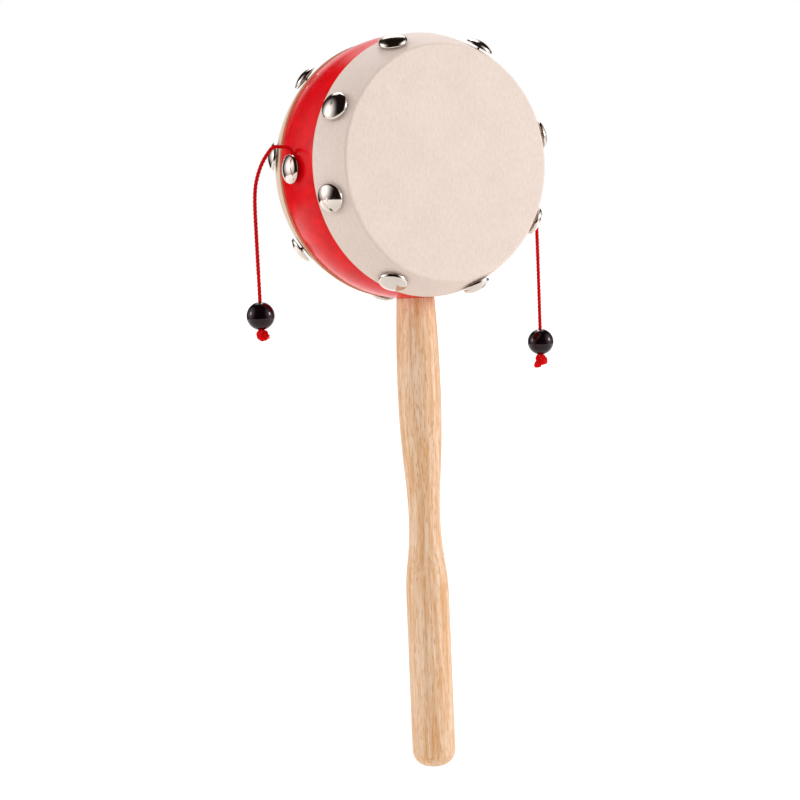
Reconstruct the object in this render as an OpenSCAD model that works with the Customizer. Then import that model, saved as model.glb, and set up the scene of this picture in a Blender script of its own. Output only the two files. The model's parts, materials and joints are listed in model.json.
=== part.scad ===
// Pellet drum rattle: barrel drum with two nailed skins on a turned handle,
// and a bead on a cord at each side that strikes the skins.
// Millimetres. Z runs up the handle, the front skin faces -Y, X is the beads' side to side.
// The origin is the middle of the handle's straight grip.

/* [Drum] */
// greatest diameter of the wooden shell
drum_d = 101; // [92:0.5:120]
// diameter of each skin's flat face
face_d = 88; // [82:0.5:94]
// depth over both skins
drum_depth = 55; // [44:0.5:66]
// straight bore through the shell
bore_d = 78; // [64:0.5:80]
// thickness of each skin
skin_t = 0.8; // [0.5:0.1:1.2]
// how far each skin laps over the shell's side, from its face
lap_w = 14.5; // [12:0.5:18]
// rounding of the shell's two edges
edge_r = 0.6; // [0.4:0.1:1.5]

/* [Tacks] */
// diameter of a tack's domed head
tack_d = 11; // [9:0.5:12]
// height of the head
tack_h = 2.6; // [2.2:0.1:3.4]
// rounding of the head down to its rim
tack_edge_r = 1.4; // [1:0.1:2]
// gap left between the skin and the head's rim
tack_gap = 1.1; // [0.1:0.1:1.6]
// thickness of the head's sheet
tack_wall = 0.6; // [0.4:0.1:0.8]
// diameter of the shank
shank_d = 1.6; // [1.2:0.1:2]
// length of the shank below the head's rim
shank_len = 7; // [5:0.5:8]
// distance of each ring of tacks from its skin's face
tack_inset = 7.5; // [6.5:0.5:9]

/* [Handle] */
// length from the shell to the rounded end
handle_len = 184; // [160:1:220]
// diameter where the handle meets the shell
collar_d = 14.8; // [13:0.1:16]
// diameter of the upper swelling
swell_d = 16.9; // [16.2:0.1:19]
// distance of the swelling below the shell
swell_at = 36.5; // [28:0.5:44]
// diameter of the neck
neck_d = 12.4; // [11:0.1:14]
// distance of the neck below the shell
neck_at = 85.5; // [76:0.5:92]
// diameter of the straight grip
grip_d = 16.9; // [15.5:0.1:19]
// length of the straight grip
grip_len = 62; // [50:1:68]
// rounding of the handle's end
end_r = 6; // [3:0.5:7.5]
// diameter of the tenon that crosses the drum
tenon_d = 11; // [8:0.5:12]
// depth of the tenon's socket in the upper wall
socket_deep = 6; // [4:0.5:8]

/* [Cords] */
// diameter of the cord
cord_d = 1.5; // [1.2:0.1:1.8]
// diameter of a bead
bead_d = 10.5; // [9:0.5:12]
// diameter of the flat round a bead's bore
bead_flat_d = 3.2; // [2.6:0.1:4.4]
// diameter of the knot under a bead
knot_d = 5.2; // [4:0.1:6.5]
// length of a knot's loose end
tail_len = 3.4; // [2.5:0.1:6]
// left bead's centre below the drum's centre
left_bead_drop = 53.6; // [50:0.2:64]
// right bead's centre below the drum's centre
right_bead_drop = 70.7; // [66:0.1:80]

/* [Fits] */
// radial clearance of a tack's shank in its hole
drive_fit = 0.05; // [0.02:0.01:0.1]
// clearance all round the glued tenon and its shoulder
glue_fit = 0.05; // [0.02:0.01:0.1]
// clearance between a cord and what it lies against
cord_fit = 0.05; // [0.02:0.01:0.1]
// radial clearance of a cord in its bead
bead_fit = 0.1; // [0.05:0.01:0.15]
// gap between a cord stretch and the round end it turns on
turn_gap = 0.2; // [0.15:0.01:0.3]
// gap left between a wrapped bead and the skin
strike_gap = 1.2; // [0.6:0.1:2]

/* [Hidden] */
$fn = 96;
cord_sides = 8;
long_arc_fn = 1440;
// how far a cutting shape runs past what it cuts
over = 2;

// drum: the shell's side is one arc about a point on the drum's mid-plane;
// a negative radius draws the side in, where the faces are wider than the belly
belly_r = drum_d / 2;
bore_r = bore_d / 2;
widest_r = max(belly_r, face_d / 2);
half_wood = drum_depth / 2 - skin_t;
skin_top = belly_r + skin_t;
arc_c = (skin_top * skin_top - face_d * face_d / 4 - drum_depth * drum_depth / 4)
        / (2 * skin_top - face_d);
arc_r = belly_r - arc_c;
skin_arc_r = arc_r + skin_t;
lap_y = drum_depth / 2 - lap_w;

// frame: the drum's centre above the middle of the grip
drum_z = belly_r + handle_len - end_r - grip_len / 2;

// tacks: ring angles from the top, clockwise as seen from the front
front_angles = [-21.5, 25, 77, 117.5, 162, -153, -104, -64];
back_angles = [2, 47, 93, 138, -177, -128, -83, -43];
// a head's crown is one arc that meets the rounding at its rim
tack_r = tack_d / 2;
edge_x = tack_r - tack_edge_r;
crown_r = (edge_x * edge_x + tack_h * tack_h - tack_edge_r * tack_edge_r) / (2 * (tack_h - tack_edge_r));
rim_in_r = tack_r - tack_wall;
tip_len = shank_d;
tack_tilt = asin((drum_depth / 2 - tack_inset) / skin_arc_r);
// a rim stands off where the skin falls away least: along the drum or round it
function rim_drop(r) = r - sign(r) * sqrt(r * r - tack_r * tack_r);
hoop_r = skin_arc_r + arc_c / cos(tack_tilt);
tack_sag = min(rim_drop(skin_arc_r), rim_drop(hoop_r));
tack_seat = skin_arc_r - tack_sag + tack_gap;
cord_sag = belly_r - sqrt(belly_r * belly_r - rim_in_r * rim_in_r);
cord_tack_seat = belly_r + cord_d + 2 * cord_fit - cord_sag;
hole_spare = 0.4;

// handle: stations and tangent arcs, measured up from the origin
shell_z = drum_z - belly_r;
swell_z = shell_z - swell_at;
neck_z = shell_z - neck_at;
grip_z = grip_len / 2;
end_z = -grip_len / 2 - end_r;
upper_r = (swell_at * swell_at + pow((swell_d - collar_d) / 2, 2)) / (swell_d - collar_d);
taper_r = (pow(neck_at - swell_at, 2) + pow((swell_d - neck_d) / 2, 2)) / (swell_d - neck_d);
taper_turn = 0.69;
taper_z = swell_z - taper_turn * (neck_at - swell_at);
flare_r = (pow(neck_z - grip_z, 2) + pow((grip_d - neck_d) / 2, 2)) / (grip_d - neck_d);
flare_turn = 0.6;
flare_z = neck_z - flare_turn * (neck_z - grip_z);
cope_rise = 1;
tenon_root = 12;

// cords: routes as [out from the shell, up from the drum's centre]
cord_r = cord_d / 2;
wrap_drop = drum_depth / 2 + bead_d / 2 + strike_gap;
shank_side = shank_d / 2 + 2 * cord_fit;
bead_r = bead_d / 2;
bead_bore_r = cord_r + bead_fit;
bead_half_h = sqrt(bead_r * bead_r - bead_flat_d * bead_flat_d / 4);
// a knot is a core that seats on the bead's bore, a turn of cord round it and a loose end
turn_r = knot_d / 2 - cord_r;
core_r = turn_r + cord_r / 4;
turn_tilt = 22;
tail_tilt = 38;
knot_drop = bead_half_h + sqrt(core_r * core_r - bead_bore_r * bead_bore_r) + cord_fit;
cord_tail = knot_drop - core_r - cord_fit;
round_steps = [[0, 1], [0.5, 0.87], [0.87, 0.5]];

left_lift = [5, 8.2];
left_swing = [8, 8.1];
left_wrap = [16.9, left_swing[1] - wrap_drop];
left_bead_out = 16.7;
left_lead = [[1.1, 7], [2.7, 7.9]];
left_bend = [[9.8, 6.6], [13.1, 2.2], [15.3, -2.7], [16.4, -7], [16.9, -13]];

right_lift = [3.1, -10];
right_swing = [5.5, -13.2];
right_wrap = [8.2, right_swing[1] - wrap_drop];
right_bead_out = 8.1;
right_lead = [[0.7, -7], [1.7, -8.5]];
right_bend = [[7.2, -16.5], [8, -21], [8.2, -27]];

// Drum

// Keeps what lies within the side's arc of radius r, or outside its circle where r is negative.
module within_side(r) {
  if (r > 0)
    intersection() {
      translate([arc_c, 0]) circle(r);
      children();
    }
  else
    difference() {
      children();
      translate([arc_c, 0]) circle(-r, $fn = long_arc_fn);
    }
}

// Meridian of the solid barrel, grown outwards by g: x is the radius, y runs along the drum's axis.
module barrel_profile(g) {
  r = arc_r + g;
  h = half_wood + g;
  f = edge_r + g;
  fx = arc_c + sign(r) * sqrt(pow(r - f, 2) - pow(h - f, 2));
  fy = h - f;
  reach = f + over;
  tx = fx + reach * (fx - arc_c) / (r - f);
  ty = fy + reach * fy / (r - f);
  difference() {
    within_side(r) translate([0, -h]) square([widest_r + g + over, 2 * h]);
    for (s = [-1, 1])
      difference() {
        polygon([[fx, s * fy], [fx, s * (h + over)], [tx, s * (h + over)], [tx, s * ty]]);
        translate([fx, s * fy]) circle(f);
      }
  }
}

// Turns a meridian about the drum's axis, its +y towards the front.
module drum_turn() {
  translate([0, 0, drum_z]) rotate([90, 0, 0]) rotate_extrude() children();
}

// Puts a tack, or its hole, at each angle of a ring: side 1 is the front, -1 the back.
module tack_ring(angles, side, seat) {
  translate([0, 0, drum_z])
    for (a = angles)
      rotate([0, a, 0])
        translate([0, 0, arc_c])
          rotate([side * tack_tilt, 0, 0])
            translate([0, 0, seat]) children();
}

// Puts a cord's tack, or its hole, on the shell's side: side 1 is +X, -1 is -X.
module cord_tack_place(side) {
  translate([0, 0, drum_z])
    rotate([0, side * 90, 0])
      translate([0, 0, cord_tack_seat]) children();
}

// Hole for a shank, from above the rim plane down past the tip.
module shank_hole() {
  translate([0, 0, -shank_len - hole_spare]) cylinder(r = shank_d / 2 + drive_fit, h = shank_len + tack_h);
}

// Meridian of a domed head, grown outwards by g: x is the radius, and the rim lies on y = 0.
module dome_profile(g) {
  f = tack_edge_r + g;
  reach = f + over;
  tx = edge_x + reach * edge_x / (crown_r - tack_edge_r);
  ty = reach * (crown_r - tack_h) / (crown_r - tack_edge_r);
  difference() {
    intersection() {
      translate([0, tack_h - crown_r]) circle(crown_r + g);
      translate([0, min(g, 0)]) square(tack_d);
    }
    difference() {
      polygon([[edge_x, 0], [edge_x, -over], [edge_x + reach, -over], [edge_x + reach, ty], [tx, ty]]);
      translate([edge_x, 0]) circle(f);
    }
  }
}

// Tack with a hollow domed head: its rim lies on z = 0 and its shank points down.
module tack() {
  rotate_extrude()
    union() {
      difference() {
        dome_profile(0);
        dome_profile(-tack_wall);
      }
      polygon([[0, -shank_len], [shank_d / 2, tip_len - shank_len],
               [shank_d / 2, tack_h - tack_wall / 2], [0, tack_h - tack_wall / 2]]);
    }
}

module drum_shell() {
  color("#C8141E")
    difference() {
      drum_turn()
        difference() {
          barrel_profile(0);
          translate([0, -drum_depth]) square([bore_r, 2 * drum_depth]);
        }
      translate([0, 0, shell_z - over])
        cylinder(r = tenon_d / 2 + glue_fit, h = over + belly_r + bore_r + socket_deep);
      tack_ring(front_angles, 1, tack_seat) shank_hole();
      tack_ring(back_angles, -1, tack_seat) shank_hole();
      for (side = [-1, 1]) cord_tack_place(side) shank_hole();
    }
}

// Skin as a meridian: flat face, rounded edge and the lap over the shell's side.
module skin_profile() {
  difference() {
    barrel_profile(skin_t);
    barrel_profile(0);
    translate([0, lap_y - drum_depth]) square([drum_d, drum_depth]);
  }
}

module front_skin() {
  color("#EADCD0")
    difference() {
      drum_turn() skin_profile();
      tack_ring(front_angles, 1, tack_seat) shank_hole();
    }
}

module back_skin() {
  color("#EADCD0")
    difference() {
      translate([0, 0, drum_z]) rotate([-90, 0, 0]) rotate_extrude() skin_profile();
      tack_ring(back_angles, -1, tack_seat) shank_hole();
    }
}

module front_tacks() {
  color("#CFCAC2") tack_ring(front_angles, 1, tack_seat) tack();
}

module back_tacks() {
  color("#CFCAC2") tack_ring(back_angles, -1, tack_seat) tack();
}

module left_cord_tack() {
  color("#CFCAC2") cord_tack_place(-1) tack();
}

module right_cord_tack() {
  color("#CFCAC2") cord_tack_place(1) tack();
}

// Handle

// Half strip of the handle's meridian between two heights.
module strip(low, high) {
  translate([0, low]) square([drum_d, high - low]);
}

// Long arc of the handle's side about a point level with z: a swelling of diameter d, or a hollow.
module swelling(d, r, z) {
  translate([d / 2 - r, z]) circle(r, $fn = long_arc_fn);
}
module hollow(d, r, z) {
  translate([d / 2 + r, z]) circle(r, $fn = long_arc_fn);
}

module handle_profile() {
  intersection() {
    strip(swell_z, shell_z + cope_rise);
    swelling(swell_d, upper_r, swell_z);
  }
  intersection() {
    strip(taper_z, swell_z);
    swelling(swell_d, taper_turn * taper_r, swell_z);
  }
  difference() {
    translate([0, neck_z]) square([swell_d / 2, taper_z - neck_z]);
    hollow(neck_d, (1 - taper_turn) * taper_r, neck_z);
  }
  difference() {
    translate([0, flare_z]) square([grip_d / 2, neck_z - flare_z]);
    hollow(neck_d, flare_turn * flare_r, neck_z);
  }
  intersection() {
    strip(grip_z, flare_z);
    swelling(grip_d, (1 - flare_turn) * flare_r, grip_z);
  }
  translate([0, -grip_z]) square([grip_d / 2, grip_len]);
  translate([0, end_z]) square([grip_d / 2 - end_r, end_r]);
  intersection() {
    strip(end_z, -grip_z);
    translate([grip_d / 2 - end_r, -grip_z]) circle(end_r);
  }
}

module handle() {
  color("#E3BA8A")
    union() {
      difference() {
        rotate_extrude() handle_profile();
        drum_turn() barrel_profile(glue_fit);
      }
      translate([0, 0, shell_z - tenon_root])
        cylinder(d = tenon_d, h = tenon_root + belly_r + bore_r + socket_deep - glue_fit);
    }
}

// Cords

// A route is a list of [x, z, radius] in the plane y = 0, up from the drum's centre.
function unit(v) = v / norm(v);
function point(p) = [p[0], p[1]];
function along(p, i) =
  unit(point(p[min(i + 1, len(p) - 1)]) - point(p[max(i - 1, 0)]));
function ring(p, t) =
  [for (k = [0 : cord_sides - 1])
    let (a = 360 * (k + 0.5) / cord_sides)
    [p[0] - p[2] * cos(a) * t[1], p[2] * sin(a), p[1] + p[2] * cos(a) * t[0]]];
function quad(i, k) =
  let (a = i * cord_sides + k, b = i * cord_sides + (k + 1) % cord_sides)
  [[a, b, b + cord_sides], [a, b + cord_sides, a + cord_sides]];

// Point on a side of the drum, from its place out from the shell and up from the drum's centre.
function outward(side, q) = [side * (belly_r + q[0]), q[1]];
// Start of a stretch towards q, clear of the round end on p by the turning gap.
function start_after(p, q) = p + (cord_r + turn_gap) * unit(q - p);
// Route of full cord through a list of points.
function plain(list) = [for (q = list) [q[0], q[1], cord_r]];
// Round end on p for the next stretch to turn on, as narrowing rings.
function round_end(from, p) =
  let (d = unit(p - from))
  [for (s = round_steps)
    [p[0] + s[0] * cord_r * d[0], p[1] + s[0] * cord_r * d[1], s[1] * cord_r]];

module cord_tube(route) {
  rings = len(route);
  last = (rings - 1) * cord_sides;
  points = [for (i = [0 : rings - 1]) each ring(route[i], along(route, i))];
  sides = [for (i = [0 : rings - 2], k = [0 : cord_sides - 1]) each quad(i, k)];
  caps = [[for (k = [cord_sides - 1 : -1 : 0]) k], [for (k = [0 : cord_sides - 1]) last + k]];
  color("#C40A12")
    translate([0, 0, drum_z]) polyhedron(points = points, faces = concat(sides, caps));
}

// Distance out of a cord's middle where it lies on the shell at height z.
function lay_x(z) = sqrt(belly_r * belly_r - z * z) + cord_r + cord_fit;

// Fixed end: from the tack's shank along the shell, out under the rim and up to the lift point.
module cord_end(side, up, lead, lift) {
  laid = [for (z = [shank_side, tack_r / 2, tack_r]) [side * lay_x(z), up * z]];
  free = [for (q = lead) outward(side, q)];
  cord_tube(concat(plain(concat(laid, free)), round_end(free[len(free) - 1], outward(side, lift))));
}

// Short root between the lift point and the swing point.
module cord_root(side, lift, swing) {
  a = outward(side, lift);
  b = outward(side, swing);
  cord_tube(concat(plain([start_after(a, b)]), round_end(a, b)));
}

// Upper stretch: from the swing point round the bend and down to the wrap point.
module cord_upper(side, swing, bend, wrap) {
  a = outward(side, swing);
  b = outward(side, wrap);
  free = [for (q = bend) outward(side, q)];
  cord_tube(concat(plain(concat([start_after(a, free[0])], free)), round_end(free[len(free) - 1], b)));
}

// Lower stretch: from the wrap point through the bead to the knot.
module cord_lower(side, wrap, bead_out, drop) {
  a = outward(side, wrap);
  b = outward(side, [bead_out, bead_half_h - drop]);
  c = outward(side, [bead_out, -drop - cord_tail]);
  cord_tube(plain([start_after(a, b), b, c]));
}

// Bead, bored through from top to bottom.
module bead(side, bead_out, drop) {
  color("#160D0F")
    translate([side * (belly_r + bead_out), 0, drum_z - drop])
      difference() {
        intersection() {
          sphere(bead_r);
          cube([bead_d + over, bead_d + over, 2 * bead_half_h], center = true);
        }
        translate([0, 0, -bead_d]) cylinder(r = bead_bore_r, h = 2 * bead_d);
      }
}

// Knot, drawn up against the bead's bore, its loose end towards lean: 1 is +X, -1 is -X.
module knot(side, bead_out, drop, lean) {
  color("#D8131A")
    translate([side * (belly_r + bead_out), 0, drum_z - drop - knot_drop])
      union() {
        sphere(core_r);
        rotate([0, lean * turn_tilt, 0])
          rotate_extrude() translate([turn_r, 0]) circle(cord_r);
        rotate([0, 180 - lean * tail_tilt, 0]) {
          cylinder(r = cord_r, h = tail_len);
          translate([0, 0, tail_len]) sphere(cord_r);
        }
      }
}

module left_cord_end() {
  cord_end(-1, 1, left_lead, left_lift);
}

module right_cord_end() {
  cord_end(1, -1, right_lead, right_lift);
}

module left_cord_root() {
  cord_root(-1, left_lift, left_swing);
}

module right_cord_root() {
  cord_root(1, right_lift, right_swing);
}

module left_cord_upper() {
  cord_upper(-1, left_swing, left_bend, left_wrap);
}

module right_cord_upper() {
  cord_upper(1, right_swing, right_bend, right_wrap);
}

module left_cord_lower() {
  cord_lower(-1, left_wrap, left_bead_out, left_bead_drop);
}

module right_cord_lower() {
  cord_lower(1, right_wrap, right_bead_out, right_bead_drop);
}

module left_bead() {
  bead(-1, left_bead_out, left_bead_drop);
}

module right_bead() {
  bead(1, right_bead_out, right_bead_drop);
}

module left_knot() {
  knot(-1, left_bead_out, left_bead_drop, 1);
}

module right_knot() {
  knot(1, right_bead_out, right_bead_drop, -1);
}

drum_shell();
front_skin();
back_skin();
handle();
front_tacks();
back_tacks();
left_cord_tack();
right_cord_tack();
left_cord_end();
right_cord_end();
left_cord_root();
right_cord_root();
left_cord_upper();
right_cord_upper();
left_cord_lower();
right_cord_lower();
left_bead();
right_bead();
left_knot();
right_knot();
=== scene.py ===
"""Looks of a pellet drum rattle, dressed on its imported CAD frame.

Metres, in the CAD's frame: Z runs up the handle, the front skin faces -Y, and the
beads hang at the two sides, -X and +X. Names that end in _mm hold millimetres.
"""

import json
import logging
import math
import random
from dataclasses import dataclass
from enum import Enum
from typing import ClassVar, Mapping, NamedTuple, Sequence

import bmesh
import bpy
import numpy as np
from mathutils import Matrix, Quaternion, Vector
from mathutils.geometry import interpolate_bezier


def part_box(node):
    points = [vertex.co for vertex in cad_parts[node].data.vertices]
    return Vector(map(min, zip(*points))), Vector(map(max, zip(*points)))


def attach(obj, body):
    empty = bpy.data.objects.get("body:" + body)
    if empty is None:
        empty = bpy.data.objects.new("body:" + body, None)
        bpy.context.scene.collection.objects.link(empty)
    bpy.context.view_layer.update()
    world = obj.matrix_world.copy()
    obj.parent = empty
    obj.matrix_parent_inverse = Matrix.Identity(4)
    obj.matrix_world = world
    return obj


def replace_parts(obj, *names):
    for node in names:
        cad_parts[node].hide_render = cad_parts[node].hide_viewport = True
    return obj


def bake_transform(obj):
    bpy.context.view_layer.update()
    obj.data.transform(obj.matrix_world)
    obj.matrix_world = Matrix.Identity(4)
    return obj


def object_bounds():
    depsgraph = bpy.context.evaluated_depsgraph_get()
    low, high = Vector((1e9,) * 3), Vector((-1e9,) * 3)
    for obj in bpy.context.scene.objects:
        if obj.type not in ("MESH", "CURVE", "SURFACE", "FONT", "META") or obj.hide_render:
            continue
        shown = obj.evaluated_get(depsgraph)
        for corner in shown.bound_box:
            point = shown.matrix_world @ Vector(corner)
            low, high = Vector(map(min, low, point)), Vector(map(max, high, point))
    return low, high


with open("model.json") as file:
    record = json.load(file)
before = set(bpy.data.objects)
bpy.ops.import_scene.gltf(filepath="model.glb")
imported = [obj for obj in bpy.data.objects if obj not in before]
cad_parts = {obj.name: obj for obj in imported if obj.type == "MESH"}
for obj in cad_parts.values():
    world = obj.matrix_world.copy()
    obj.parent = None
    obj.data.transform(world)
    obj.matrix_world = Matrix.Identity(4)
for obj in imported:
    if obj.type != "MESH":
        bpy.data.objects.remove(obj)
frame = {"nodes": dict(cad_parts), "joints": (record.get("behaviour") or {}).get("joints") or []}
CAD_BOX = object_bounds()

LOG = logging.getLogger("rattle_drum")
MM = 0.001
WHITE = "#FFFFFF"
# Points that a smooth line is worked out at, from one given point to the next.
CURVE_STEPS = 24
# Socket numbers of a Mix node that mixes colours.
SHARE, FIRST, SECOND, MIXED = 0, 6, 7, 2
# Sizes or places along x, y and z.
Triple = tuple[float, float, float]


class Side(Enum):
    """The two sides of the drum that carry a cord: the value is the sign of X."""

    LEFT = -1
    RIGHT = 1

    @property
    def prefix(self) -> str:
        """Start of the names of this side's nodes, bodies and joints."""
        return self.name.lower()


class Span(NamedTuple):
    """The lowest and the highest of some values."""

    low: float
    high: float


# Small helpers


def linear(code: str) -> tuple[float, ...]:
    """Turns an sRGB hex colour into linear light.

    Args:
        code: The colour as #RRGGBB.

    Returns:
        Red, green, blue and a full alpha.
    """
    shares = [int(code[i:i + 2], 16) / 255 for i in (1, 3, 5)]
    return tuple(c / 12.92 if c <= 0.04045 else ((c + 0.055) / 1.055) ** 2.4 for c in shares) + (1.0,)


def per_mm(*sizes_mm: float) -> tuple[float, ...]:
    """Gives the Mapping scale at which a pattern repeats at these sizes along x, y and z."""
    return tuple(1 / (size * MM) for size in sizes_mm)


def add_node(
    tree: bpy.types.NodeTree, kind: str, inputs: Mapping[int | str, object] | None = None, **settings: object
) -> bpy.types.Node:
    """Adds a shader node with its settings, and links or sets its inputs.

    Args:
        tree: The node tree to add to.
        kind: The node's type without its ShaderNode prefix.
        inputs: Sockets to link from, or values to set, by input name or number.
        **settings: The node's own properties.

    Returns:
        The new node.
    """
    made = tree.nodes.new("ShaderNode" + kind)
    for name, value in settings.items():
        setattr(made, name, value)
    for key, value in (inputs or {}).items():
        if isinstance(value, bpy.types.NodeSocket):
            tree.links.new(value, made.inputs[key])
        else:
            made.inputs[key].default_value = value
    return made


def link_object(name: str, data: bpy.types.ID) -> bpy.types.Object:
    """Puts new object data into the scene.

    Args:
        name: The object's name.
        data: The mesh, lamp or camera that it holds.

    Returns:
        The object, at the origin.
    """
    made = bpy.data.objects.new(name, data)
    bpy.context.scene.collection.objects.link(made)
    return made


def smooth_line(points: Sequence[Vector], step: float) -> list[Vector]:
    """Runs one smooth curve through given points.

    Args:
        points: The points, in order.
        step: The distance between the points that come back.

    Returns:
        Points at even steps along the curve.
    """
    last = len(points) - 1
    lean = [(points[min(i + 1, last)] - points[max(i - 1, 0)]).normalized() for i in range(last + 1)]
    fine = [points[0]]
    for i in range(last):
        third = (points[i + 1] - points[i]).length / 3
        before, after = points[i] + lean[i] * third, points[i + 1] - lean[i + 1] * third
        fine += interpolate_bezier(points[i], before, after, points[i + 1], CURVE_STEPS)[1:]
    rows = np.array(fine)
    along = np.concatenate([[0], np.cumsum(np.linalg.norm(np.diff(rows, axis=0), axis=1))])
    even = np.linspace(0, along[-1], round(along[-1] / step) + 1)
    return [Vector(p) for p in np.stack([np.interp(even, along, rows[:, k]) for k in range(3)], axis=1)]


def tubes(
    name: str, lines: Sequence[Sequence[Vector]], radii_mm: Sequence[Sequence[float]]
) -> bpy.types.Object:
    """Makes one mesh of round capped tubes.

    Args:
        name: The piece's name.
        lines: The points down the middle of each tube.
        radii_mm: The tube's radius at each of its points.

    Returns:
        The piece, at the origin.
    """
    curve = bpy.data.curves.new(name, "CURVE")
    curve.dimensions = "3D"
    curve.bevel_depth = MM
    curve.bevel_resolution = 2
    curve.use_fill_caps = True
    for line, radii in zip(lines, radii_mm):
        spline = curve.splines.new("POLY")
        spline.points.add(len(line) - 1)
        spline.points.foreach_set("co", [x for p in line for x in (*p, 1.0)])
        spline.points.foreach_set("radius", list(radii))
    outline = bpy.data.objects.new(name + "_line", curve)
    piece = link_object(name, bpy.data.meshes.new_from_object(outline))
    bpy.data.objects.remove(outline)
    bpy.data.curves.remove(curve)
    piece.data.name = name
    piece.data.shade_smooth()
    return piece


# Finishes


@dataclass(frozen=True)
class Finish:
    """A material of the object, made once and shared by its pieces.

    Each has a roughness that varies with its pattern, and a relief that the pattern raises.
    """

    title: ClassVar[str] = ""
    rough: Span
    relief_mm: float
    relief_strength: float

    def material(self) -> bpy.types.Material:
        """Makes the material the first time, and gives it again later.

        Returns:
            The material.
        """
        known = bpy.data.materials.get(self.title)
        if known:
            return known
        made = bpy.data.materials.new(self.title)
        made.use_nodes = True
        tree = made.node_tree
        tree.nodes.clear()
        shader = add_node(tree, "BsdfPrincipled")
        add_node(tree, "OutputMaterial", {"Surface": shader.outputs["BSDF"]})
        place = add_node(tree, "TexCoord").outputs["Object"]
        self.shade(tree, shader, place)
        return made

    def shade(self, tree: bpy.types.NodeTree, shader: bpy.types.Node, place: bpy.types.NodeSocket) -> None:
        """Adds the finish's own pattern and gloss.

        Args:
            tree: The material's node tree.
            shader: Its Principled BSDF.
            place: Object coordinates in metres.
        """
        raise NotImplementedError

    def surface(
        self,
        tree: bpy.types.NodeTree,
        shader: bpy.types.Node,
        level: bpy.types.NodeSocket,
        height: bpy.types.NodeSocket,
    ) -> None:
        """Gives the finish its roughness and its relief.

        Args:
            tree: The material's node tree.
            shader: Its Principled BSDF.
            level: The pattern that varies the roughness.
            height: The pattern that is raised.
        """
        spread = {"Value": level, "To Min": self.rough.low, "To Max": self.rough.high}
        relief = {"Height": height, "Distance": self.relief_mm * MM, "Strength": self.relief_strength}
        rough = add_node(tree, "MapRange", spread)
        bump = add_node(tree, "Bump", relief)
        tree.links.new(rough.outputs[0], shader.inputs["Roughness"])
        tree.links.new(bump.outputs[0], shader.inputs["Normal"])

    def dress(self, piece: bpy.types.Object) -> None:
        """Puts the material on a piece, in place of any that it has."""
        piece.data.materials.clear()
        piece.data.materials.append(self.material())


@dataclass(frozen=True)
class RedLacquer(Finish):
    """Red lacquer sprayed on turned wood: satin gloss, with the turning faintly felt through it."""

    title: ClassVar[str] = "red_lacquer_on_turned_wood"
    rough: Span = Span(0.20, 0.24)
    relief_mm: float = 0.005
    relief_strength: float = 0.6
    specular: float = 0.11
    deep: str = "#DA000F"
    bright: str = "#F60816"
    cloud_mm: float = 5.0
    mottle: Span = Span(0.3, 0.7)
    turning_mm: Triple = (9.0, 2.2, 9.0)

    def shade(self, tree: bpy.types.NodeTree, shader: bpy.types.Node, place: bpy.types.NodeSocket) -> None:
        """Mottles the red and lays fine turning lines round the drum's axis.

        Args:
            tree: The material's node tree.
            shader: Its Principled BSDF.
            place: Object coordinates in metres.
        """
        cloud_place = add_node(tree, "Mapping", {"Vector": place, "Scale": per_mm(*[self.cloud_mm] * 3)})
        cloud = add_node(tree, "TexNoise", {"Vector": cloud_place.outputs[0], "Scale": 1.0, "Detail": 4.0})
        line_place = add_node(tree, "Mapping", {"Vector": place, "Scale": per_mm(*self.turning_mm)})
        line = add_node(tree, "TexNoise", {"Vector": line_place.outputs[0], "Scale": 1.0, "Detail": 3.0})
        share = add_node(
            tree,
            "MapRange",
            {"Value": cloud.outputs["Fac"], "From Min": self.mottle.low, "From Max": self.mottle.high},
            clamp=True,
        )
        red = add_node(
            tree,
            "Mix",
            {SHARE: share.outputs[0], FIRST: linear(self.deep), SECOND: linear(self.bright)},
            data_type="RGBA",
        )
        shader.inputs["Specular IOR Level"].default_value = self.specular
        tree.links.new(red.outputs[MIXED], shader.inputs["Base Color"])
        self.surface(tree, shader, line.outputs["Fac"], line.outputs["Fac"])


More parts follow.
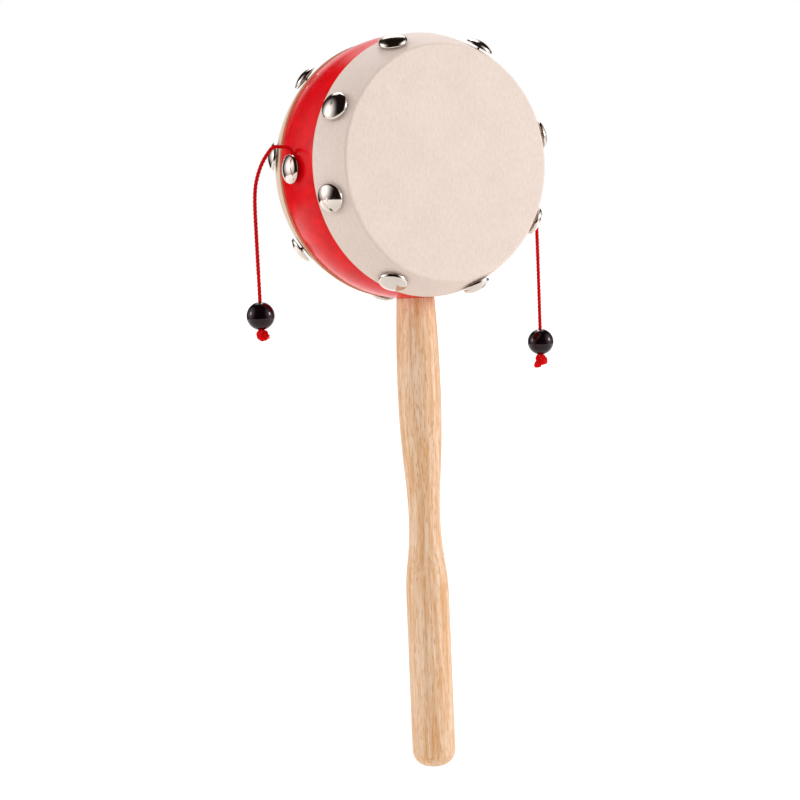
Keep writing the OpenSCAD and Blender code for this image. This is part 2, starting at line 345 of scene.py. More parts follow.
@dataclass(frozen=True)
class Hide(Finish):
    """Scraped hide, stretched and dried: pale, matt, finely grained, tan at its cut edge, with painted shade
    and painted red reflection beside it and painted shade along the fold.
    """

    title: ClassVar[str] = "scraped_pale_hide"
    rough: Span = Span(0.6, 0.8)
    relief_mm: float = 0.06
    relief_strength: float = 0.35
    pale: str = "#F4E2D8"
    warm: str = "#E5D0C4"
    # The cut edge's tan, which also paints the shade and the red shell's reflection on the lap beside the
    # cut, and the shade along the fold.
    cut: str = "#E6C39C"
    grain_mm: Triple = (0.6, 0.6, 1.9)
    cloud_mm: float = 14.0
    cloud_weight: float = 0.4
    pale_span: Span = Span(0.4, 1.0)
    pore_mm: float = 0.7
    # How tan the skin is (0 to 1) at shares of the way from the lap's cut end to the face. At the cut end
    # this is the leather's cut edge with painted shade and a painted reflection of the red shell beside it;
    # near the face it is painted shade along the fold.
    tan_share: tuple[tuple[float, float], ...] = (
        (0.0, 1.0), (0.004, 0.9), (0.012, 0.15), (0.04, 0.0),
        (0.93, 0.0), (0.97, 0.15), (0.995, 0.08), (1.0, 0.0),
    )

    def shade(self, tree: bpy.types.NodeTree, shader: bpy.types.Node, place: bpy.types.NodeSocket) -> None:
        """Grains the skin along the handle, tans its cut end with painted shade and painted red reflection
        beside it, and paints shade along its fold.

        Args:
            tree: The material's node tree.
            shader: Its Principled BSDF.
            place: Object coordinates in metres.
        """
        # The two skins mirror each other, so the front one's depths serve for both.
        skin_low, skin_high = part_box("front_skin")
        grain_place = add_node(tree, "Mapping", {"Vector": place, "Scale": per_mm(*self.grain_mm)})
        grain = add_node(tree, "TexNoise", {"Vector": grain_place.outputs[0], "Scale": 1.0, "Detail": 3.0})
        cloud_place = add_node(tree, "Mapping", {"Vector": place, "Scale": per_mm(*[self.cloud_mm] * 3)})
        cloud = add_node(tree, "TexNoise", {"Vector": cloud_place.outputs[0], "Scale": 1.0, "Detail": 3.0})
        both = add_node(
            tree,
            "Math",
            {0: cloud.outputs["Fac"], 1: self.cloud_weight, 2: grain.outputs["Fac"]},
            operation="MULTIPLY_ADD",
        )
        share = add_node(
            tree,
            "MapRange",
            {"Value": both.outputs[0], "From Min": self.pale_span.low, "From Max": self.pale_span.high},
            clamp=True,
        )
        tone = add_node(
            tree,
            "Mix",
            {SHARE: share.outputs[0], FIRST: linear(self.warm), SECOND: linear(self.pale)},
            data_type="RGBA",
        )
        axes = add_node(tree, "SeparateXYZ", {0: place})
        depth = add_node(tree, "Math", {0: axes.outputs["Y"]}, operation="ABSOLUTE")
        along = add_node(
            tree,
            "MapRange",
            {"Value": depth.outputs[0], "From Min": -skin_high.y, "From Max": -skin_low.y},
            clamp=True,
        )
        # Mixes in the tan: the cut edge's own colour, with painted shade and painted red reflection beside
        # it, and painted shade along the fold.
        tan = add_node(tree, "ValToRGB", {"Fac": along.outputs[0]})
        stops = tan.color_ramp.elements
        for i, (spot, level) in enumerate(self.tan_share):
            stop = stops[i] if i < len(stops) else stops.new(spot)
            stop.position, stop.color = spot, (level, level, level, 1.0)
        colour = add_node(
            tree,
            "Mix",
            {SHARE: tan.outputs["Color"], FIRST: tone.outputs[MIXED], SECOND: linear(self.cut)},
            data_type="RGBA",
        )
        pore_place = add_node(tree, "Mapping", {"Vector": place, "Scale": per_mm(*[self.pore_mm] * 3)})
        pore = add_node(tree, "TexVoronoi", {"Vector": pore_place.outputs[0], "Scale": 1.0})
        relief = add_node(
            tree, "Math", {0: grain.outputs["Fac"], 1: pore.outputs["Distance"]}, operation="ADD"
        )
        tree.links.new(colour.outputs[MIXED], shader.inputs["Base Color"])
        self.surface(tree, shader, grain.outputs["Fac"], relief.outputs[0])


@dataclass(frozen=True)
class TanLapHide(Hide):
    """The back skin's hide: pale on its face, with a lap that is tan, deepest toward its cut end."""

    title: ClassVar[str] = "scraped_hide_with_tan_lap"
    # The tan fades from the cut edge toward the face; its faint rise near the face is painted shade along
    # the fold.
    tan_share: tuple[tuple[float, float], ...] = (
        (0.0, 1.0), (0.004, 0.95), (0.05, 0.7), (0.3, 0.45),
        (0.6, 0.25), (0.9, 0.12), (0.97, 0.15), (1.0, 0.0),
    )


@dataclass(frozen=True)
class Nickel(Finish):
    """Nickel plate on a pressed steel head: a warm mirror with shallow dents from the pressing."""

    title: ClassVar[str] = "nickel_plated_steel"
    rough: Span = Span(0.07, 0.13)
    relief_mm: float = 0.05
    relief_strength: float = 0.5
    plate: str = "#DDD1C8"
    dent_mm: float = 2.6

    def shade(self, tree: bpy.types.NodeTree, shader: bpy.types.Node, place: bpy.types.NodeSocket) -> None:
        """Varies the polish and dents the plate a little.

        Args:
            tree: The material's node tree.
            shader: Its Principled BSDF.
            place: Object coordinates in metres.
        """
        dent_place = add_node(tree, "Mapping", {"Vector": place, "Scale": per_mm(*[self.dent_mm] * 3)})
        dent = add_node(tree, "TexNoise", {"Vector": dent_place.outputs[0], "Scale": 1.0, "Detail": 2.0})
        shader.inputs["Base Color"].default_value = linear(self.plate)
        shader.inputs["Metallic"].default_value = 1.0
        self.surface(tree, shader, dent.outputs["Fac"], dent.outputs["Fac"])


@dataclass(frozen=True)
class Beech(Finish):
    """Turned beech under thin wax: long pinkish-tan streaks with the short dark flecks of its rays."""

    title: ClassVar[str] = "waxed_beech"
    rough: Span = Span(0.42, 0.60)
    relief_mm: float = 0.05
    relief_strength: float = 0.3
    pale: str = "#F7D7B9"
    streak: str = "#E2A76C"
    fleck: str = "#D08B48"
    streak_mm: Triple = (1.5, 1.5, 36.0)
    streak_span: Span = Span(0.62, 1.02)
    grain_mm: Triple = (0.45, 0.45, 10.0)
    grain_weight: float = 0.6
    fleck_mm: Triple = (0.42, 0.42, 4.0)
    fleck_span: Span = Span(0.54, 0.70)
    fleck_depth: float = 0.7

    def shade(self, tree: bpy.types.NodeTree, shader: bpy.types.Node, place: bpy.types.NodeSocket) -> None:
        """Runs the grain up the handle and scatters the flecks along it.

        Args:
            tree: The material's node tree.
            shader: Its Principled BSDF.
            place: Object coordinates in metres.
        """
        fields = []
        for sizes, detail in ((self.streak_mm, 3.0), (self.grain_mm, 3.0), (self.fleck_mm, 1.0)):
            mapped = add_node(tree, "Mapping", {"Vector": place, "Scale": per_mm(*sizes)})
            noise = add_node(tree, "TexNoise", {"Vector": mapped.outputs[0], "Scale": 1.0, "Detail": detail})
            fields.append(noise.outputs["Fac"])
        streak, grain, fleck = fields
        both = add_node(tree, "Math", {0: grain, 1: self.grain_weight, 2: streak}, operation="MULTIPLY_ADD")
        share = add_node(
            tree,
            "MapRange",
            {"Value": both.outputs[0], "From Min": self.streak_span.low, "From Max": self.streak_span.high},
            clamp=True,
        )
        wood = add_node(
            tree,
            "Mix",
            {SHARE: share.outputs[0], FIRST: linear(self.pale), SECOND: linear(self.streak)},
            data_type="RGBA",
        )
        dash = add_node(
            tree,
            "MapRange",
            {
                "Value": fleck,
                "From Min": self.fleck_span.low,
                "From Max": self.fleck_span.high,
                "To Max": self.fleck_depth,
            },
            clamp=True,
        )
        colour = add_node(
            tree,
            "Mix",
            {SHARE: dash.outputs[0], FIRST: wood.outputs[MIXED], SECOND: linear(self.fleck)},
            data_type="RGBA",
        )
        tree.links.new(colour.outputs[MIXED], shader.inputs["Base Color"])
        self.surface(tree, shader, grain, grain)


@dataclass(frozen=True)
class BlackGloss(Finish):
    """Black gloss paint dipped on a wooden bead: deep, faintly brown, with a clear shine."""

    title: ClassVar[str] = "black_gloss_paint_on_wood"
    rough: Span = Span(0.07, 0.13)
    relief_mm: float = 0.03
    relief_strength: float = 0.4
    specular: float = 0.4
    deep: str = "#080304"
    brown: str = "#160A0F"
    shine: str = "#FFE2EC"
    cloud_mm: float = 3.5

    def shade(self, tree: bpy.types.NodeTree, shader: bpy.types.Node, place: bpy.types.NodeSocket) -> None:
        """Clouds the black with brown and waves its shine a little.

        Args:
            tree: The material's node tree.
            shader: Its Principled BSDF.
            place: Object coordinates in metres.
        """
        cloud_place = add_node(tree, "Mapping", {"Vector": place, "Scale": per_mm(*[self.cloud_mm] * 3)})
        cloud = add_node(tree, "TexNoise", {"Vector": cloud_place.outputs[0], "Scale": 1.0, "Detail": 3.0})
        tone = add_node(
            tree,
            "Mix",
            {SHARE: cloud.outputs["Fac"], FIRST: linear(self.deep), SECOND: linear(self.brown)},
            data_type="RGBA",
        )
        shader.inputs["Specular IOR Level"].default_value = self.specular
        shader.inputs["Specular Tint"].default_value = linear(self.shine)
        tree.links.new(tone.outputs[MIXED], shader.inputs["Base Color"])
        self.surface(tree, shader, cloud.outputs["Fac"], cloud.outputs["Fac"])


@dataclass(frozen=True)
class RedYarn(Finish):
    """Dyed cotton yarn: matt and a little fuzzy, darker down in the lay.

    Its fibres are drawn as coarse as they need to be to show.
    """

    title: ClassVar[str] = "dyed_red_cotton"
    rough: Span = Span(0.7, 0.9)
    relief_mm: float = 0.08
    relief_strength: float = 0.6
    specular: float = 0.12
    deep: str = "#B80006"
    bright: str = "#E8000C"
    bloom: str = "#FF5050"
    bloom_weight: float = 0.06
    bloom_rough: float = 0.4
    fibre_mm: Triple = (0.22, 0.22, 0.6)
    fibre_span: Span = Span(0.3, 0.65)

    def shade(self, tree: bpy.types.NodeTree, shader: bpy.types.Node, place: bpy.types.NodeSocket) -> None:
        """Breaks the red into fibres and adds a soft bloom.

        Args:
            tree: The material's node tree.
            shader: Its Principled BSDF.
            place: Object coordinates in metres.
        """
        fibre_place = add_node(tree, "Mapping", {"Vector": place, "Scale": per_mm(*self.fibre_mm)})
        fibre = add_node(tree, "TexNoise", {"Vector": fibre_place.outputs[0], "Scale": 1.0, "Detail": 3.0})
        level = fibre.outputs["Fac"]
        share = add_node(
            tree,
            "MapRange",
            {"Value": level, "From Min": self.fibre_span.low, "From Max": self.fibre_span.high},
            clamp=True,
        )
        red = add_node(
            tree,
            "Mix",
            {SHARE: share.outputs[0], FIRST: linear(self.deep), SECOND: linear(self.bright)},
            data_type="RGBA",
        )
        shader.inputs["Specular IOR Level"].default_value = self.specular
        shader.inputs["Sheen Weight"].default_value = self.bloom_weight
        shader.inputs["Sheen Roughness"].default_value = self.bloom_rough
        shader.inputs["Sheen Tint"].default_value = linear(self.bloom)
        tree.links.new(red.outputs[MIXED], shader.inputs["Base Color"])
        self.surface(tree, shader, level, level)


@dataclass(frozen=True)
class LooseYarn(RedYarn):
    """The same yarn where a knot loosens its lay: fluffier, so brighter."""

    title: ClassVar[str] = "dyed_red_cotton_unlaid"
    deep: str = "#CC0006"
    bright: str = "#F6040E"


# Camera and studio


def toward(round_deg: float, up_deg: float) -> Vector:
    """Gives the direction that lies so far round from the drum's front, to its right, and so far up."""
    round_z, up = math.radians(round_deg), math.radians(up_deg)
    return Vector((math.sin(round_z) * math.cos(up), -math.cos(round_z) * math.cos(up), math.sin(up)))


@dataclass(frozen=True)
class Viewpoint:
    """The camera, at the photograph's viewing angle."""

    place_mm: Triple = (-367.30, -596.44, 164.02)
    azimuth_deg: float = -31.0017
    elevation_deg: float = 4.5779
    roll_deg: float = -2.4062
    lens_mm: float = 81.262
    sensor_mm: float = 36.0

    def build(self) -> None:
        """Makes the scene's camera."""
        data = bpy.data.cameras.new("photo_camera")
        data.lens = self.lens_mm
        data.sensor_width = self.sensor_mm
        camera = link_object("photo_camera", data)
        ahead = -toward(self.azimuth_deg, self.elevation_deg)
        turn = ahead.to_track_quat("-Z", "Y") @ Quaternion((0, 0, 1), math.radians(self.roll_deg))
        camera.matrix_world = Matrix.Translation(Vector(self.place_mm) * MM) @ turn.to_matrix().to_4x4()
        bpy.context.scene.camera = camera


@dataclass(frozen=True)
class Softbox:
    """A lamp with a diffuser, aimed at the drum, and the soft glow round it on the cloth behind.

    The glow is full within glow_in_deg of the lamp's direction, and gone at glow_out_deg.
    """

    name: str
    round_deg: float
    up_deg: float
    radiance: float
    glow: float
    glow_in_deg: float
    glow_out_deg: float
    width: float = 0.30
    height: float = 0.36
    distance: float = 1.25

    def build(self, target: Vector) -> None:
        """Makes the area lamp.

        Args:
            target: The point that it faces.
        """
        data = bpy.data.lights.new(self.name, "AREA")
        data.shape = "RECTANGLE"
        data.size, data.size_y = self.width, self.height
        data.energy = self.radiance * math.pi * self.width * self.height
        lamp = link_object(self.name, data)
        out = toward(self.round_deg, self.up_deg)
        lamp.location = target + out * self.distance
        lamp.rotation_mode = "QUATERNION"
        lamp.rotation_quaternion = (-out).to_track_quat("-Z", "Y")


@dataclass(frozen=True)
class DarkTent:
    """Dark cloth hung round the set and laid before the table, which only mirror-like surfaces see.

    It is open behind the object, where the white backdrop shows.
    """

    radius: float = 2.2
    open_round_deg: float = 149.0
    open_up_deg: float = 0.0
    open_half_deg: float = 34.0
    table_radius: float = 1.3
    table_back: float = 0.6
    lift: float = 0.002
    glow_fall: float = 2.5
    cloth: str = "#1E1613"

    def material(self, centre: Vector, lamps: Sequence[Softbox]) -> bpy.types.Material:
        """Makes the cloth's look.

        Args:
            centre: The point that the tent goes round.
            lamps: The lamps that light up the cloth behind them.

        Returns:
            The material.
        """
        made = bpy.data.materials.new("dark_cloth")
        made.use_nodes = True
        tree = made.node_tree
        tree.nodes.clear()
        place = add_node(tree, "TexCoord").outputs["Object"]
        reach = add_node(tree, "VectorMath", {0: place, 1: centre}, operation="SUBTRACT")
        out = add_node(tree, "VectorMath", {0: reach.outputs[0]}, operation="NORMALIZE")
        paint = add_node(tree, "Emission", {"Color": linear(self.cloth), "Strength": 1.0})
        for lamp in lamps:
            aim = toward(lamp.round_deg, lamp.up_deg)
            pool = Span(math.cos(math.radians(lamp.glow_out_deg)), math.cos(math.radians(lamp.glow_in_deg)))
            near = add_node(tree, "VectorMath", {0: out.outputs[0], 1: aim}, operation="DOT_PRODUCT")
            share = add_node(
                tree,
                "MapRange",
                {"Value": near.outputs["Value"], "From Min": pool.low, "From Max": pool.high},
                clamp=True,
            )
            fall = add_node(tree, "Math", {0: share.outputs[0], 1: self.glow_fall}, operation="POWER")
            level = add_node(tree, "Math", {0: fall.outputs[0], 1: lamp.glow}, operation="MULTIPLY")
            glow = add_node(tree, "Emission", {"Color": linear(WHITE), "Strength": level.outputs[0]})
            paint = add_node(tree, "AddShader", {0: paint.outputs[0], 1: glow.outputs[0]})
        add_node(tree, "OutputMaterial", {"Surface": paint.outputs[0]})
        return made

    def build(self, centre: Vector, floor_z: float, lamps: Sequence[Softbox]) -> None:
        """Makes the tent.

        Args:
            centre: The point that it goes round.
            floor_z: The height of the floor.
            lamps: The lamps that light up the cloth behind them.
        """
        out = toward(self.open_round_deg, self.open_up_deg)
        hem_z = floor_z + self.lift
        cuts = (
            (centre + out * self.radius * math.cos(math.radians(self.open_half_deg)), out),
            (Vector((0, 0, hem_z)), Vector((0, 0, -1))),
        )
        shape = bmesh.new()
        bmesh.ops.create_uvsphere(shape, u_segments=64, v_segments=32, radius=self.radius)
        bmesh.ops.translate(shape, vec=centre, verts=shape.verts)
        for point, away in cuts:
            cloth = [*shape.verts, *shape.edges, *shape.faces]
            bmesh.ops.bisect_plane(shape, geom=cloth, plane_co=point, plane_no=away, clear_outer=True)
        hem = [e for e in shape.edges if e.is_boundary and all(v.co.z < hem_z + self.lift for v in e.verts)]
        made = bmesh.ops.extrude_edge_only(shape, edges=hem)["geom"]
        apron = [g for g in made if isinstance(g, bmesh.types.BMVert)]
        share = self.table_radius / math.sqrt(self.radius**2 - (centre.z - hem_z) ** 2)
        bmesh.ops.scale(
            shape, vec=(share, share, 1), space=Matrix.Translation((-centre.x, -centre.y, 0)), verts=apron
        )
        bmesh.ops.translate(shape, vec=toward(self.open_round_deg, 0) * self.table_back, verts=apron)
        mesh = bpy.data.meshes.new("dark_tent")
        shape.to_mesh(mesh)
        shape.free()
        mesh.materials.append(self.material(centre, lamps))
        tent = link_object("dark_tent", mesh)
        for ray in ("camera", "diffuse", "shadow", "transmission", "volume_scatter"):
            setattr(tent, "visible_" + ray, False)


@dataclass(frozen=True)
class Studio:
    """A pale floor, a white surround and soft lamps at a plain level."""

    ambient: float = 0.705
    floor_tone: str = "#F8F7F5"
    # The floor's own glow, and the distances from the origin between which it grows.
    lift: Span = Span(0.04, 0.62)
    lift_reach: Span = Span(0.3, 1.2)
    floor_half: float = 40.0
    floor_drop: float = 0.12
    softboxes: tuple[Softbox, ...] = (
        Softbox("left_softbox", -117.0, 13.0, radiance=7.8, glow=1.9, glow_in_deg=0.0, glow_out_deg=52.0),
        Softbox("right_softbox", 52.0, 11.0, radiance=15.5, glow=1.9, glow_in_deg=0.0, glow_out_deg=54.0),
        Softbox("top_softbox", 152.0, 54.0, radiance=11.0, glow=1.8, glow_in_deg=19.0, glow_out_deg=26.0),
    )
    tent: DarkTent = DarkTent()

    def seen(self, tree: bpy.types.NodeTree) -> bpy.types.NodeSocket:
        """Tells whether a ray shows the background.

        Args:
            tree: The node tree to add to.

        Returns:
            1 for a ray from the camera, a mirror or glass, and else 0.
        """
        ray = add_node(tree, "LightPath").outputs
        first = add_node(
            tree, "Math", {0: ray["Is Camera Ray"], 1: ray["Is Glossy Ray"]}, operation="MAXIMUM"
        )
        return add_node(
            tree, "Math", {0: first.outputs[0], 1: ray["Is Transmission Ray"]}, operation="MAXIMUM"
        ).outputs[0]

    def build_world(self) -> None:
        """Makes a surround that looks white and lights softly."""
        world = bpy.data.worlds.new("white_surround")
        world.use_nodes = True
        tree = world.node_tree
        tree.nodes.clear()
        level = add_node(tree, "MapRange", {"Value": self.seen(tree), "To Min": self.ambient, "To Max": 1.0})
        sky = add_node(tree, "Background", {"Color": linear(WHITE), "Strength": level.outputs[0]})
        add_node(tree, "OutputWorld", {"Surface": sky.outputs[0]})
        bpy.context.scene.world = world

    def build_floor(self) -> None:
        """Makes the floor, which looks white where no shadow falls, near the lamps and far from them."""
        shape = bmesh.new()
        bmesh.ops.create_grid(shape, x_segments=1, y_segments=1, size=self.floor_half)
        bmesh.ops.translate(shape, vec=(0, 0, self.floor_z), verts=shape.verts)
        mesh = bpy.data.meshes.new("pale_floor")
        shape.to_mesh(mesh)
        shape.free()
        paper = bpy.data.materials.new("white_paper_sweep")
        paper.use_nodes = True
        tree = paper.node_tree
        tree.nodes.clear()
        matt = add_node(tree, "BsdfDiffuse", {"Color": linear(self.floor_tone)})
        place = add_node(tree, "TexCoord").outputs["Object"]
        away = add_node(tree, "VectorMath", {0: place}, operation="LENGTH")
        level = add_node(
            tree,
            "MapRange",
            {
                "Value": away.outputs["Value"],
                "From Min": self.lift_reach.low,
                "From Max": self.lift_reach.high,
                "To Min": self.lift.low,
                "To Max": self.lift.high,
            },
            clamp=True,
        )
        lift = add_node(tree, "Math", {0: self.seen(tree), 1: level.outputs[0]}, operation="MULTIPLY")
        glow = add_node(tree, "Emission", {"Color": linear(WHITE), "Strength": lift.outputs[0]})
        sweep = add_node(tree, "AddShader", {0: matt.outputs[0], 1: glow.outputs[0]})
        add_node(tree, "OutputMaterial", {"Surface": sweep.outputs[0]})
        mesh.materials.append(paper)
        link_object("pale_floor", mesh)

    @property
    def floor_z(self) -> float:
        """Height of the floor, below the object that hangs in the air."""
        return CAD_BOX[0].z - self.floor_drop

    def build(self, target: Vector) -> None:
        """Makes the surround, the floor, the tent and the lamps.

        Args:
            target: The point that the lamps face.
        """
        bpy.context.scene.view_settings.view_transform = "Standard"
        self.build_world()
        self.build_floor()
        self.tent.build(target, self.floor_z, self.softboxes)
        for softbox in self.softboxes:
            softbox.build(target)


# Cords with their beads and knots


@dataclass(frozen=True)
class TwistedCord:
    """Three strands laid up into one cord."""

    diameter_mm: float = 1.5
    strands: int = 3
    strand_share: float = 0.52
    lay_mm: float = 4.4
    step_mm: float = 0.35

    @property
    def strand_radius_mm(self) -> float:
        """Radius of one strand."""
        return self.diameter_mm / 2 * self.strand_share

    def lines(self, middle: Sequence[Vector], across: Vector) -> list[list[Vector]]:
        """Winds the strands round a line.

        Args:
            middle: Points down the middle of the cord, at even steps.
            across: A direction that isn't along its start.

        Returns:
            The points down the middle of each strand.
        """
        reach = (self.diameter_mm / 2 - self.strand_radius_mm) * MM
        last = len(middle) - 1
        wound: list[list[Vector]] = [[] for _ in range(self.strands)]
        along = 0.0
        side = across
        for i, point in enumerate(middle):
            ahead = (middle[min(i + 1, last)] - middle[max(i - 1, 0)]).normalized()
            side = (side - ahead * side.dot(ahead)).normalized()
            along += (point - middle[max(i - 1, 0)]).length
            for k, strand in enumerate(wound):
                angle = math.tau * (along / (self.lay_mm * MM) + k / self.strands)
                out = side * math.cos(angle) + ahead.cross(side) * math.sin(angle)
                strand.append(point + out * reach)
        return wound


class Yarn(NamedTuple):
    """A strand, fibre or hair of a knot: its line, and its radius at each point."""

    line: Sequence[Vector]
    radii_mm: Sequence[float]


@dataclass(frozen=True)
class Knot:
    """An overhand knot drawn tight under its bead: a fat bell of yarn with its end cut short and fraying.

    Its bends are places of the yarn's middle right of, behind and above the bead's lower mouth, seen
    from the camera.
    """

    seed: int
    bends_mm: tuple[Triple, ...]
    turn_deg: float = -31.0
    yarn: TwistedCord = TwistedCord(diameter_mm=2.0, strand_share=0.54)
    # The strands start at this share of their radius, and swell to the whole over this length.
    neck_share: float = 0.7
    swell_mm: float = 2.0
    tail_mm: float = 0.45
    # Shares of the tail's length, each with the tail's share of the strand's radius there.
    tail_shape: tuple[tuple[float, float], ...] = ((0.0, 1.0), (0.35, 1.1), (0.7, 1.05), (1.0, 0.8))
    splay_deg: float = 16.0
    fibres: int = 9
    fibre_root_share: float = 0.8
    fibre_past_mm: Span = Span(0.1, 0.4)
    fibre_stray_mm: float = 0.4
    fibre_bow_mm: float = 0.1
    fibre_radii_mm: Triple = (0.08, 0.07, 0.05)
    hairs: int = 40
    hair_root_share: float = 0.4
    hair_mm: Span = Span(0.4, 0.9)
    hair_bend: float = 0.3
    hair_bow_mm: float = 0.15
    hair_radii_mm: Triple = (0.05, 0.045, 0.03)

    @staticmethod
    def stray(draw: random.Random, reach: float = 1.0) -> Vector:
        """Draws a vector whose three parts are each within the reach."""
        return Vector([draw.uniform(-reach, reach) for _ in range(3)])

    def tail(self, middle: Sequence[Vector], end: Vector, draw: random.Random) -> list[Yarn]:
        """Ends a strand in a short cut tail that frays.

        Args:
            middle: The line down the middle of all strands.
            end: The strand's last point.
            draw: The source of random numbers.

        Returns:
            The tail and its fibres.
        """
        radius = self.yarn.strand_radius_mm
        splay = math.radians(self.splay_deg)
        ahead = (middle[-1] - middle[-3]).normalized()
        out = end - middle[-1]
        out = (out - ahead * out.dot(ahead)).normalized()
        heading = ahead * math.cos(splay) + out * math.sin(splay)
        line = [end + heading * self.tail_mm * MM * share for share, _ in self.tail_shape]
        made = [Yarn(line, [radius * thick for _, thick in self.tail_shape])]
        for _ in range(self.fibres):
            stray = self.stray(draw)
            start = line[1] + stray * radius * self.fibre_root_share * MM
            tip = line[-1] + (heading * draw.uniform(*self.fibre_past_mm) + stray * self.fibre_stray_mm) * MM
            bow = (start + tip) / 2 + stray * self.fibre_bow_mm * MM
            made.append(Yarn([start, bow, tip], self.fibre_radii_mm))
        return made

    def hair(self, root: Vector, draw: random.Random) -> Yarn:
        """Lets one hair stand off the knot.

        Args:
            root: The point of the yarn's middle that it stands off from.
            draw: The source of random numbers.

        Returns:
            The hair.
        """
        stray = self.stray(draw).normalized()
        bent = self.stray(draw, self.hair_bend)
        start = root + stray * self.yarn.diameter_mm * self.hair_root_share * MM
        tip = start + (stray + bent) * draw.uniform(*self.hair_mm) * MM
        bow = (start + tip) / 2 - bent * self.hair_bow_mm * MM
        return Yarn([start, bow, tip], self.hair_radii_mm)

    def build(self, name: str, mouth: Vector) -> bpy.types.Object:
        """Makes the knot with its frayed tail and loose hairs.

        Args:
            name: The piece's name.
            mouth: The lower end of the bead's bore.

        Returns:
            The knot.
        """
        draw = random.Random(self.seed)
        turn = Matrix.Rotation(math.radians(self.turn_deg), 3, "Z")
        bends = [mouth + turn @ Vector(bend) * MM for bend in self.bends_mm]
        middle = smooth_line(bends, self.yarn.step_mm * MM)
        strands = self.yarn.lines(middle, Vector((1, 0, 0)))
        swell = round(self.swell_mm / self.yarn.step_mm)
        shares = [min(1.0, self.neck_share + (1 - self.neck_share) * i / swell) for i in range(len(middle))]
        yarns = [Yarn(line, [self.yarn.strand_radius_mm * share for share in shares]) for line in strands]
        for line in strands:
            yarns += self.tail(middle, line[-1], draw)
        for _ in range(self.hairs):
            yarns.append(self.hair(draw.choice(middle[swell:]), draw))
        return tubes(name, [yarn.line for yarn in yarns], [yarn.radii_mm for yarn in yarns])


@dataclass(frozen=True)
class Striker:
    """One cord with its bead and knot, from the tack on the shell to the cut end.

    From under the tack, the cord lies on the shell as far up as laid_mm says, or down where laid_up
    is -1, leaves it through lead_mm and hangs through bend_mm. Those two are places out from the
    shell's side and up from the drum's centre. The last three sizes give places so far from the
    joints, which the build works out but does not use; wrap_mm also sets where the cord's upper length
    ends and its lower one starts.
    """

    side: Side
    lead_mm: tuple[tuple[float, float], ...]
    bend_mm: tuple[tuple[float, float], ...]
    laid_up: int
    knot: Knot
    cord: TwistedCord = TwistedCord()
    laid_mm: tuple[float, ...] = (0.9, 2.75, 5.5)
    lie_mm: float = 0.8
    fold_mm: float = 2.0
    swing_mm: float = 4.0
    wrap_mm: float = 5.0

    def joint(self, name: str) -> Vector:
        """Gives the place of one of this side's joints."""
        title = f"{self.side.prefix}_{name}"
        return Vector(next(j["pos_m"] for j in frame["joints"] if j["name"] == title))

    def route(self) -> list[Vector]:
        """Gives the cord's points, the same as the CAD's.

        Returns:
            Points from under the tack's head to the knot.
        """
        low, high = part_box("drum_shell")
        centre, belly = (low + high) / 2, (high.x - low.x) / 2
        sign = self.side.value

        def beside(out_mm: float, up_mm: float) -> Vector:
            """Gives the point that far out from the shell and up from the drum's centre."""
            return Vector((sign * (belly + out_mm * MM), centre.y, centre.z + up_mm * MM))

        laid = []
        for z_mm in self.laid_mm:
            out_mm = math.sqrt((belly / MM) ** 2 - z_mm**2) - belly / MM + self.lie_mm
            laid.append(beside(out_mm, self.laid_up * z_mm))
        bead_low, bead_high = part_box(f"{self.side.prefix}_bead")
        bead = (bead_low + bead_high) / 2
        return [
            *laid,
            *[beside(*p) for p in self.lead_mm],
            self.joint("lift"),
            self.joint("swing"),
            *[beside(*p) for p in self.bend_mm],
            self.joint("wrap"),
            Vector((bead.x, bead.y, bead_high.z)),
            Vector((bead.x, bead.y, bead_low.z)),
        ]

    def build(self) -> list[bpy.types.Object]:
        """Makes the cord in three lengths, cut near its joints, and the knot.

        Returns:
            The new pieces.
        """
        prefix = self.side.prefix
        middle = smooth_line(self.route(), self.cord.step_mm * MM)
        strands = self.cord.lines(middle, Vector((0, 1, 0)))

        def nearest(point: Vector, shift_mm: float = 0.0) -> int:
            """Gives the number of the line's point nearest a place, or so far along from it."""
            best = min(range(len(middle)), key=lambda i: (middle[i] - point).length)
            return best + round(shift_mm / self.cord.step_mm)

        lift, swing, wrap = (self.joint(n) for n in ("lift", "swing", "wrap"))
        root_cut = nearest((lift + swing) / 2)
        wrap_cut = nearest(wrap, -self.wrap_mm)
        lengths = (
            ("cord_end", 0, root_cut, ("drum", f"{prefix}_root"), nearest(lift, -self.fold_mm), root_cut),
            ("cord_upper", root_cut, wrap_cut, (f"{prefix}_root", f"{prefix}_string"), root_cut,
             nearest(swing, self.swing_mm)),
            ("cord_lower", wrap_cut, len(middle) - 1, (f"{prefix}_string", f"{prefix}_striker"), wrap_cut,
             nearest(wrap, self.wrap_mm)),
        )
        pieces = {}
        for name, first, last, bodies, start, end in lengths:
            cut = [strand[first:last + 1] for strand in strands]
            radii = [[self.cord.strand_radius_mm] * len(line) for line in cut]
            piece = tubes(f"{prefix}_{name}_twist", cut, radii)
            RedYarn().dress(piece)
            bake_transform(piece)
            pieces[name] = piece
        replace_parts(pieces["cord_end"], f"{prefix}_cord_end", f"{prefix}_cord_root")
        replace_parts(pieces["cord_upper"], f"{prefix}_cord_upper")
        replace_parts(pieces["cord_lower"], f"{prefix}_cord_lower")
        knot = self.build_knot()
        return [*pieces.values(), knot]

    def build_knot(self) -> bpy.types.Object:
        """Makes the knot under the bead.

        Returns:
            The knot, which rides with the bead.
        """
        prefix = self.side.prefix
        bead_low, bead_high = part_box(f"{prefix}_bead")
        bead = (bead_low + bead_high) / 2
        piece = self.knot.build(f"{prefix}_overhand_knot", Vector((bead.x, bead.y, bead_low.z)))
        LooseYarn().dress(piece)
        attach(piece, f"{prefix}_striker")
        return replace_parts(piece, f"{prefix}_knot")


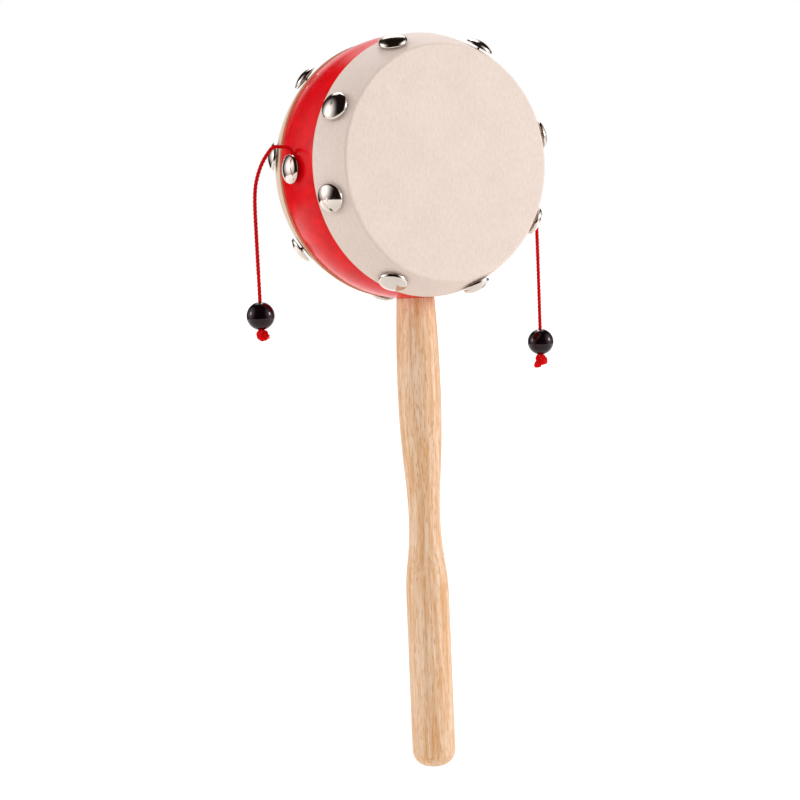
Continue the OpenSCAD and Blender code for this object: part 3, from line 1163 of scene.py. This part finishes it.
STRIKERS = (
    Striker(
        side=Side.LEFT,
        lead_mm=((1.1, 7.0), (2.7, 7.9)),
        bend_mm=((9.8, 6.6), (13.1, 2.2), (15.3, -2.7), (16.4, -7.0), (16.9, -13.0)),
        laid_up=1,
        knot=Knot(
            seed=3,
            bends_mm=(
                (0.0, 0.0, 1.2), (-0.3, -0.3, -0.5), (-0.9, -0.8, -1.8), (-0.5, -0.9, -3.1),
                (0.9, -0.5, -3.4), (1.8, 0.5, -2.4), (1.0, 1.0, -1.0), (-0.4, 1.0, -0.9),
                (-1.1, 0.6, -1.9), (-0.2, 0.1, -2.6), (0.9, -0.3, -2.2), (2.1, -0.7, -2.8),
            ),
        ),
    ),
    Striker(
        side=Side.RIGHT,
        lead_mm=((0.7, -7.0), (1.7, -8.5)),
        bend_mm=((7.2, -16.5), (8.0, -21.0), (8.2, -27.0)),
        laid_up=-1,
        knot=Knot(
            seed=11,
            bends_mm=(
                (0.0, 0.0, 1.2), (-0.3, -0.3, -0.5), (0.6, -0.8, -1.7), (0.9, -0.9, -3.1),
                (-0.3, -0.5, -3.6), (-1.2, 0.4, -2.4), (-1.1, 1.0, -1.0), (0.4, 1.0, -0.9),
                (1.6, 0.6, -2.2), (1.5, 0.2, -3.4), (0.3, 0.0, -2.7), (-1.2, -0.4, -3.3),
                (-2.2, -0.6, -4.0), (-1.8, -0.5, -4.7), (-0.8, -0.3, -4.3),
            ),
        ),
    ),
)


# Drum and handle


@dataclass(frozen=True)
class Drum:
    """The shell with its two skins and all tacks, and the handle: CAD solids that get their finishes."""

    finishes: tuple[tuple[Finish, tuple[str, ...]], ...] = (
        (RedLacquer(), ("drum_shell",)),
        (Hide(), ("front_skin",)),
        (TanLapHide(), ("back_skin",)),
        (Nickel(), ("front_tacks", "back_tacks", "left_cord_tack", "right_cord_tack")),
        (Beech(), ("handle",)),
        (BlackGloss(), ("left_bead", "right_bead")),
    )

    def dress(self) -> None:
        """Puts each finish on its nodes."""
        for finish, nodes in self.finishes:
            for name in nodes:
                finish.dress(frame["nodes"][name])
                LOG.info("%s is dressed in %s", name, finish.title)


def main() -> None:
    """Builds the scene in order and reports each piece."""
    logging.basicConfig(level=logging.INFO, format="%(name)s: %(message)s")
    Viewpoint().build()
    for striker in STRIKERS:
        for piece in striker.build():
            LOG.info("%s has %d faces", piece.name, len(piece.data.polygons))
    Drum().dress()
    low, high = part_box("drum_shell")
    Studio().build((low + high) / 2)


if __name__ == "__main__":
    main()
